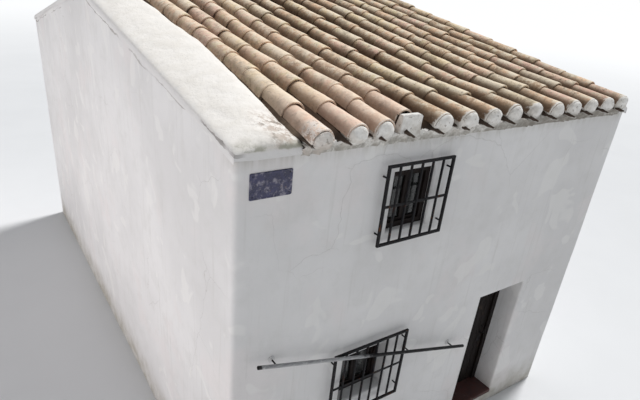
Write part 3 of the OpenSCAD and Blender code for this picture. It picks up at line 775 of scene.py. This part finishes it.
def roof_tiles(side, node, seed):
    g = np.random.default_rng(seed)
    covers, pans = Bag(), Bag()
    laps = LAP if side > 0 else [BACK_LAP] * ROWS
    for i in range(ROWS):
        s, c = COVER_S[i] if side > 0 else BACK_S + g.normal(0, .004), 0
        du0 = COVER_DU[i] * (side > 0)
        while s < RUN - .22:
            # The lowest tile is cut short and plugged, but not in the broken row
            plugged = c == 0 and i != BROKEN
            L = min((.46 - s if plugged else TILE_L) + g.normal(0, .006), RUN - .06 - s)
            du, dn, yaw, roll = g.normal(0, .005), g.normal(0, .0025), g.normal(0, .016), g.normal(0, .05)
            r0 = COVER_R - (.006 if c else .011) + g.normal(0, .002)
            row = chord(i, s, L, side)
            def place(P):
                x = P[..., 0] * cos(roll) - P[..., 2] * sin(roll)
                z = P[..., 2] * cos(roll) + P[..., 0] * sin(roll)
                ss = s + P[..., 1]
                u = FIRST + i * PITCH + du0 * step(.6 - ss, 0, .5) + row(P[..., 1])
                u = u + du * step(s, 0, .3) + x + yaw * (P[..., 1] - .25)
                return on_roof(u, ss, SPRING + dn + z + .002, side)
            lime = (.42, .55, .60, .9)[min(i, 3)] if plugged else 0 if c else .55
            barrel(covers, place, L, r0, r0 - .020 * L / TILE_L, (-4, 184), g.random(), i * 31 + c + seed,
                   chip=0 if plugged else 1, lime=lime)
            s = (.37 if plugged else s + laps[i]) + g.normal(0, .030)
            c += 1
        s, c = PAN_S + abs(g.normal(0, .004)), 0
        while s < RUN - .2:
            L = min(TILE_L, RUN - .05 - s)
            du = g.normal(0, .003)
            row = chord(i - .5, s, L, side)
            def place(P):
                ss = s + P[..., 1]
                if side > 0 and c == 0:
                    # The eave channel is bedded in mortar on its left: the right flank runs out and droops
                    cut = step(-P[..., 0], -.080, -.046)
                    out, start, ease = (.280, .45, .35) if i == 0 else (.128, .16, .12)
                    ss = ss + out * step(start - P[..., 1], 0, ease) * cut
                    P = P - points(0, 0, .018 * step(-ss, .02, .14))
                u = FIRST + (i - .5) * PITCH + row(P[..., 1]) + du + P[..., 0]
                return on_roof(u, ss, PAN_C + P[..., 2], side)
            barrel(pans, place, L, PAN_TIP, PAN_HEAD, (28, 152), g.random(), i * 57 + c + seed,
                   na=14, nl=3, hollow=True, chip=.5 * min(c, 1), lime=1.0)
            s += PAN_LAP
            c += 1
    make("cover_tiles_" + node, covers, COVER, nodes=(node,))
    make("channel_tiles_" + node, pans, CHANNEL)


roof_tiles(1, "front_tiles", 5)
roof_tiles(-1, "back_tiles", 17)


# Mortar at the eave: it plugs the covers, beds the channels and runs down over the wall's head
def eave_mortar(side, name, seed):
    bag = Bag()
    u = np.arange(CAP_W + (.105 if side > 0 else -.012), LAST + COVER_R + .012, .007)
    i = np.clip(np.round((u - FIRST) / PITCH), 0, ROWS - 1).astype(int)
    ends = np.array(COVER_S if side > 0 else [BACK_S] * ROWS)
    ends[BROKEN] = -.012 if side > 0 else BACK_S
    off = np.array([stray(k, 0, side) for k in range(ROWS)])
    mid = FIRST + i * PITCH + (np.array(COVER_DU) * (side > 0) + off)[i]
    tip, dc = ends[i], np.abs(u - mid)
    # Distance from the middle of the nearest channel
    j = np.clip(np.round((u - FIRST) / PITCH + .5), 0, ROWS - 1)
    xp = u - FIRST - (j - .5) * PITCH - np.interp(j - .5, np.arange(ROWS), off)
    rim = np.where(i < 3, .081, .091)
    top = np.where(dc < rim, SPRING + .001 + np.sqrt(np.maximum(rim ** 2 - dc ** 2, 0)), 0)
    # Where one tile is gone, its core stands as a flat-topped block
    gone = (i == BROKEN) & (side > 0)
    core = (u > mid - .150) & (u < mid + .088)
    top = np.where(gone, np.where(core, .192 - .02 * step(u - mid, .05, .09), 0), top)
    # Bed of the channels: under each an arch of mortar, a little to the left
    left, half, foot, high = .012, .135, -.05, .112
    arch = foot + high * np.sqrt(np.maximum(1 - ((xp + left) / half) ** 2, 0))
    inner = PAN_C - .002 - np.sqrt(np.maximum((PAN_TIP - .004) ** 2 - xp ** 2, 1e-6))
    bed = np.maximum(np.minimum(arch, np.where(np.abs(xp) < .09, inner + .020 * (xp < .02), 1)), .0)
    between = (u > FIRST - PITCH / 2) & (u < LAST)
    top = np.maximum(top, np.where(between, bed, .070))
    low = -.056 + .010 * fbm(points(u, 0, seed), 7, 3, seed)
    q = np.linspace(0, 1, 24)
    n = low[:, None] + (top - low)[:, None] * q
    r = np.hypot(dc[:, None], np.maximum(n - SPRING, 0)) / rim[:, None]
    under = np.where(gone, core, step(.104 - dc, 0, .030))[:, None]
    belly = step(n, -.05, .09)
    dome = np.where(gone[:, None], 0, np.sqrt(np.clip(1 - r ** 2, 0, 1)))
    rho = np.hypot((xp[:, None] + left) / half, (n - foot) / high)
    k = (.55 + .45 * np.sin(i * 2.4 + 1.9))[:, None] * between[:, None]
    lip = k * np.exp(-((rho - .86) / .15) ** 2) * (1 - under * step(n, .03, .08))
    plug = np.abs(tip)[:, None] - .012 + (.036 - .030 * (i == 0))[:, None] * dome
    s = -.010 - .012 * belly - .030 * lip - under * belly * plug
    K = points(u[:, None] + seed, 0, n)
    s = s - (.006 + .005 * under) * fbm(K, 17, 3, seed) * (.4 + belly) - .003 * noise(K, 60, 4)
    s = np.where(q == 0, -.0035, s)
    P = on_roof(u[:, None], s, n, side)
    deep = np.where(gone & core, .020, s[:, -1] + .035)
    drop = np.where(dc < .085, .045, .150)
    for ds, dn in ((0, .004), (.025, np.where(gone & core, drop, .030)),
                   (.18, np.where(gone & core, drop + .01, .060))):
        P = np.concatenate([P, on_roof(u, deep + ds, n[:, -1] - dn, side)[:, None]], 1)
    # Tone: the first row's core is bare clay mortar, the others are limewashed more or less
    tone = np.where(i == 0, .22, .70 + .30 * np.sin(i * 1.9 + seed))
    tone = tone * step(.13 - dc, 0, .02) + .5 * step(dc, .11, .13)
    bag.grid(P, flip=side > 0, tone=np.broadcast_to(tone[:, None], P.shape[:2]).ravel())
    make(name, bag, EAVE_MORTAR, closed=False, angle=60)


eave_mortar(1, "eave_mortar_front", 2)
eave_mortar(-1, "eave_mortar_back", 5)


# Hand-smoothed mortar band up a verge
def verge(side, lane, node, seed):
    bag = Bag()
    w = CAP_W if lane else W - LAST - COVER_R
    h = CAP_H if lane else .095
    # Section from the outer lip over the swelling back to the inner edge, as shares of width and height
    rise = [(.0, .165), (.02, .22), (.05, .285), (.09, .35), (.14, .42), (.20, .49), (.26, .56), (.34, .64),
            (.44, .74), (.56, .83), (.67, .90), (.77, .955), (.86, .99), (.93, .99), (.975, .91),
            (.995, .74), (1, .5), (1, 0)]
    under_lip = [(-.010, -.052), (-.012, -.035), (-.0115, -.014), (-.009, .002), (-.005, .013)]
    prof = np.array(under_lip + [(a * w, b * h) for a, b in rise])
    s = np.concatenate([[-.0105, -.0100, -.004, .006, .02, .04, .07, .10],
                        np.arange(.14, RUN - .06, .035), [RUN - .06]])
    U, S, N = np.broadcast_arrays(prof[:, 0], s[:, None], prof[:, 1])
    share = np.clip(U / w, 0, 1)
    # The inner edge follows the first row and laps over its channel
    edge = fbm(points(S, 0, seed), 3.1, 3, 4)
    if lane and side > 0:
        grow = np.interp(S, (0, .5, 1, 1.5, 2, 2.5, 3, 4.3),
                         (.118, .098, .100, .145, .165, .115, .105, .03))
    else:
        grow = stray(0, S, side) if lane else stray(13, S, side) * -1
    U = U + share ** 2 * (grow + .014 * edge)
    K = points(U * 1.6 + seed, S, 0)
    # The lip wavers: here it stands proud of the wall, there it dies into it
    lip = fbm(points(S, 0, seed), 1.7, 3, 8)
    U = np.where(U < 0, U * np.clip(.72 + .45 * lip, .35, 1), U)
    N = N + .030 * np.clip(.35 + lip, 0, 1) * (np.arange(U.shape[1]) < 2) * step(S, .05, .3)
    body = step(N, .02, .09)
    N = N + (fbm(K, 2.4, 2, seed) * .018 + fbm(K, 7, 2, seed + 3) * .006 - .003) * body
    # The front end is rounded over and crumbly
    t = np.clip((S + .0105) / .085, 0, 1)
    N = np.where(N > 0, N * (.42 + .58 * np.sqrt(np.clip(1 - (1 - t) ** 2, 0, 1))), N)
    if side > 0 and lane:
        fall = step(share, .50, .98) * step(.75 - S, 0, .6)
        N = np.where(N > 0, N * (1 - .48 * fall) + .007 * noise(K, 30, 7) * fall, N)
    P = on_roof(U if lane else W - U, S, N, side)
    first = P[0].copy()
    first[:, 1] = side * (-(D / 2 + .0115) + .003 * np.abs(noise(first, 30, 6)))
    foot = first.copy()
    foot[:, 2] = np.minimum(EAVE - .035 + .010 * noise(first * (1, 0, 1), 5, 9), first[:, 2] - .002)
    P = np.concatenate([foot[None], first[None], P])
    # Tone: thin and dirty where the mortar was feathered over the first channel
    thin = step(share, .48, .75) * step(.55 - S, 0, .3) * (lane and side > 0)
    thin = np.concatenate([thin[:1], thin[:1], thin])
    bag.grid(P, flip=(side > 0) == lane, tone=thin.ravel())
    make("mortar_" + node, bag, MORTAR, nodes=(node,), closed=False, angle=55)


verge(1, True, "lane_cap_front", 1)
verge(-1, True, "lane_cap_back", 2)
verge(1, False, "right_cap_front", 3)
verge(-1, False, "right_cap_back", 4)


# Ridge tiles on a mortar bed
def ridge():
    g = np.random.default_rng(23)
    tiles, bed = Bag(), Bag()
    top = EAVE + D / 2 * TAN
    # Tiles: radius, taper, height, lap. Bed: half its width. Plugs at the ends: radius and height
    radius, taper, seat, lap, foot, plug, rise = .1235, .018, .0965, .415, .175, .104, .098
    x, c = -W / 2, 0
    while x < W / 2 - .1:
        L = min(TILE_L, W / 2 - x)
        dy, dz = g.normal(0, .002), g.normal(0, .0015)
        def place(P):
            return points(x + P[..., 1], P[..., 0] + dy, top + seat + dz + P[..., 2])
        barrel(tiles, place, L, radius, radius - taper * L / TILE_L, (0, 180), g.random(), 300 + c, na=14)
        x += lap
        c += 1
    xs = np.linspace(-W / 2 + .002, W / 2 - .002, 160)
    for side in (-1, 1):
        X, Q = np.meshgrid(xs, np.linspace(0, 1, 7), indexing="ij")
        y = foot - .055 * Q
        z = top - y * TAN + foot * (1 - Q) * .75 + Q * (.115 + y * TAN)
        u = X + W / 2
        dc = np.abs((u - FIRST + PITCH / 2) % PITCH - PITCH / 2)
        z = z - .10 * (1 - Q) * step(dc, .07, .14) * (u > .45) * (u < 4.78)
        y = y - .010 * np.abs(fbm(points(X, y, z), 14, 3, 3))
        bed.grid(points(X, side * y, z), flip=side > 0, tone=.3)
    for xe, sg in ((-W / 2 + .004, -1), (W / 2 - .004, 1)):
        A, F = np.meshgrid(np.linspace(0, pi, 15), np.linspace(1, .05, 6), indexing="ij")
        Y, Z = plug * np.cos(A) * F, top + rise + plug * np.sin(A) * F
        pits = np.abs(noise(points(Y, Z, Y), 30, 2))
        Xp = xe - sg * .006 + sg * .006 * (1 - F ** 2) - sg * .004 * pits
        bed.grid(points(Xp, Y, Z), flip=sg < 0, tone=.3)
        B, Q = np.meshgrid(np.linspace(-.12, .12, 13), np.linspace(0, 1, 5), indexing="ij")
        Zb = top - np.abs(B) * TAN - .01 + Q * (.112 + np.abs(B) * TAN)
        bed.grid(points(xe - sg * .003, B, Zb), flip=sg < 0, tone=.3)
    make("ridge_barrels", tiles, COVER, nodes=("ridge_tiles",))
    make("ridge_mortar", bed, MORTAR, closed=False, angle=60)


ridge()


# Window guards: forged bars between the edge frame
def bars(name, guard, count, side=1):
    bag = Bag()
    x, z, w, h = guard
    y = side * -(D / 2 + GUARD_OFF + EDGE_BAR / 2)
    thick, inset = .018, .012
    section = rounded(thick, thick, .003)
    for k in range(1, count):
        bx = x - W / 2 - w / 2 + EDGE_BAR / 2 + k * (w - EDGE_BAR) / count
        bar(bag, (bx, y, z + inset), (bx, y, z + h - inset), section, n=8, wob=.0016, seed=k)
    make(name, bag, IRON)


bars("upper_bars", UPPER_GUARD, 6)
bars("lower_bars", LOWER_GUARD, 7)
bars("back_bars", UPPER_GUARD, 6, -1)


# Door leaf of five boards with clenched nails
def door():
    g = np.random.default_rng(3)
    boards, nails = Bag(), Bag()
    x0, x1, y0, y1, z0, z1 = .765, 1.435, -3.955, -3.915, .213, 1.895
    w, y = (x1 - x0) / 5, (y0 + y1) / 2
    head = [(.0001, -.0045), (.005, -.004), (.0085, -.0018), (.0095, .0004)]
    for i in range(5):
        cx = x0 + w * (i + .5)
        sec = rounded(w - .003, y1 - y0 - .0015, .0035)
        bar(boards, (cx, y, z0 + .002 * g.random()), (cx, y, z1 - .002 * g.random()), sec,
            n=12, tone=g.random())
        for f in (.12, .5, .88):
            for dx in (-.036, .036):
                for dz in (-.028, .028):
                    if i == 4 and f == .5:
                        continue
                    revolve(nails, head, (cx + dx, y0 + .0008, z0 + f * (z1 - z0) + dz), 10)
    make("door_boards", boards, DOOR_WOOD, nodes=("door_leaf",), body="door")
    make("door_nails", nails, IRON, body="door")


door()


# Worn step
def threshold():
    bag = Bag()
    x = np.linspace(.7005, 1.4995, 41)
    # Section of the step, y and z
    prof = [(-4.2470, .149), (-4.2495, .160), (-4.2498, .190), (-4.2480, .2005), (-4.2430, .2065),
            (-4.235, .2078), (-4.15, .2078), (-4.05, .2078), (-3.96, .2078), (-3.78, .2078),
            (-3.772, .203), (-3.771, .150)]
    y, z = np.array(prof).T
    X, Y, Z = np.broadcast_arrays(x[:, None], y, z)
    hollow = .011 * np.exp(-((X - 1.08) / .22) ** 2) * step(Z, .18, .205) * step(-3.97 - Y, 0, .1)
    Z = Z - hollow - .0012 * np.abs(noise(points(X, Y, Z), 22, 3)) * (Z > .19)
    bag.grid(points(X, Y, Z), wrap=True, caps=True)
    make("worn_step", bag, STEP, nodes=("threshold",))


threshold()


# Street plaque: pressed enamel, bare, with four screws
def plaque():
    bag, screws = Bag(), Bag()
    x0, z0, w, h = .119 - W / 2, 3.712, .350, .202
    cx, cz = x0 + w / 2, z0 + h / 2
    # Screws: how far from the edges. Rings from the rim inwards: how far, and depth before the wall
    inset = .024
    rings = ((0, -.001), (0, -.0035), (.0012, -.0050), (.005, -.0058), (.011, -.0062), (.0125, -.0054),
             (.016, -.0052), (.03, -.0062), (.06, -.0070), (.095, -.0074))
    head = [(.0001, -.0020), (.003, -.0018), (.0048, -.0006), (.0052, .001)]
    rows = []
    for off, d in rings:
        sec = rounded(w - 2 * off, h - 2 * off, max(.012 - off, .004), 4)
        rows.append(points(cx + sec[:, 0], -D / 2 + d, cz + sec[:, 1]))
    bag.grid(np.array(rows), wrap=True, caps=True)
    for sx in (-1, 1):
        for sz in (-1, 1):
            o = (cx + sx * (w / 2 - inset), -D / 2 - .0058, cz + sz * (h / 2 - inset))
            revolve(screws, head, o)
    make("enamel_plaque", bag, ENAMEL, nodes=("street_plaque",))
    make("plaque_screws", screws, IRON)


plaque()


# CAD nodes that stay get their materials, and most of them soft edges
def dress(name, mat, bevel):
    ob = nodes[name]
    ob.data.materials.clear()
    ob.data.materials.append(mat)
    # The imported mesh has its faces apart: welding joins them, so that their edges can be rounded
    ob.modifiers.new("weld", "WELD").merge_threshold = WELD
    if bevel:
        m = ob.modifiers.new("soft_edges", "BEVEL")
        m.width, m.segments, m.limit_method, m.angle_limit = bevel, 2, "ANGLE", radians(40)
        ob.modifiers.new("even_shading", "WEIGHTED_NORMAL")


for mat, bevel, names in (
        (IRON, .0025, "upper_grille lower_grille back_grille"),
        (IRON, .0012, "grille_stubs door_pintles door_straps lock_plate"),
        (IRON, 0, "door_pull"),
        (BRACKET, .0012, "handrail_brackets"),
        (TUBE, .001, "handrail"),
        (DOOR_WOOD, .004, "door_frame door_ledges"),
        (FRAME_WOOD, .0025, "upper_window_frame upper_casements lower_window_frame lower_casements"),
        (FRAME_WOOD, .0025, "back_window_frame back_casements"),
        (GLASS, 0, "window_glass"),
        (SCREED, 0, "ground_floor"),
        (BOARDS, 0, "upper_floor"),
        (POLE, 0, "floor_poles ridge_pole front_purlins back_purlins")):
    for name in names.split():
        dress(name, mat, bevel)


# Stands an object by its three axes and its place
def stand(ob, *axes):
    ob.matrix_world = Matrix([[a[k] for a in axes] for k in range(3)] + [[0, 0, 0, 1]])


# Pale floor, soft light and the photo's camera
def stage():
    t = Tree("pale_floor")
    far = t.node("VectorMath", {0: t.obj}, out=1, operation="LENGTH")
    t.base(t.noise(.35, 4, .6), (.725, .73, .738), (.745, .75, .758))
    t.coat((.95, .95, .95), (far, 12, 60))
    mat = t.done(.95)
    me = bpy.data.meshes.new("floor")
    edge, low = 300, -.002
    corners = ((-1, -1), (1, -1), (1, 1), (-1, 1))
    me.from_pydata([(edge * x, edge * y, low) for x, y in corners], [], [(0, 1, 2, 3)])
    floor = add_object("floor", me)
    me.materials.append(mat)

    # Sun, from the direction z
    li = bpy.data.lights.new("key", "SUN")
    li.energy, li.angle = 2.80, radians(12)
    z = np.array((.62, .17, 1))
    z /= np.linalg.norm(z)
    x = np.cross((0, 0, 1), z)
    x /= np.linalg.norm(x)
    stand(add_object("key", li), x, np.cross(z, x), z, (0, 0, 30))
    # Low soft box beside the lane wall, under the level of the roof
    li = bpy.data.lights.new("lane_box", "AREA")
    li.shape, li.size, li.size_y, li.energy = "RECTANGLE", 13, 3.2, 135
    li.spread, li.color = radians(100), (1, .93, .92)
    ob = add_object("lane_box", li)
    stand(ob, (0, -1, 0), (0, 0, 1), (-1, 0, 0), (-9.5, -.6, 1.9))
    ob.visible_camera = False

    # Sky that lights, and white that the camera sees
    w = bpy.data.worlds.new("studio")
    w.use_nodes = True
    wt = w.node_tree
    sky, white = wt.nodes["Background"], wt.nodes.new("ShaderNodeBackground")
    pick = wt.nodes.new("ShaderNodeMixShader")
    sky.inputs[0].default_value, sky.inputs[1].default_value = (.915, .955, 1, 1), .345
    white.inputs[0].default_value = (1, 1, 1, 1)
    path = wt.nodes.new("ShaderNodeLightPath")
    wt.links.new(path.outputs["Is Camera Ray"], pick.inputs[0])
    wt.links.new(sky.outputs[0], pick.inputs[1])
    wt.links.new(white.outputs[0], pick.inputs[2])
    wt.links.new(pick.outputs[0], wt.nodes["World Output"].inputs[0])
    bpy.context.scene.world = w

    cam = bpy.data.cameras.new("camera")
    cam.sensor_width, cam.lens = 36, 28.71
    cam.shift_x, cam.shift_y = .0313, .0391
    ob = add_object("camera", cam)
    # The photo's camera: its right, its up, its back and where it stands
    stand(ob, (.84022, -.53682, .07655), (.18012, .40947, .89437), (-.51146, -.73767, .44073),
          (-3.9271, -7.1304, 5.1574))
    bpy.context.scene.camera = ob
    bpy.context.scene.view_settings.view_transform = "Standard"


stage()
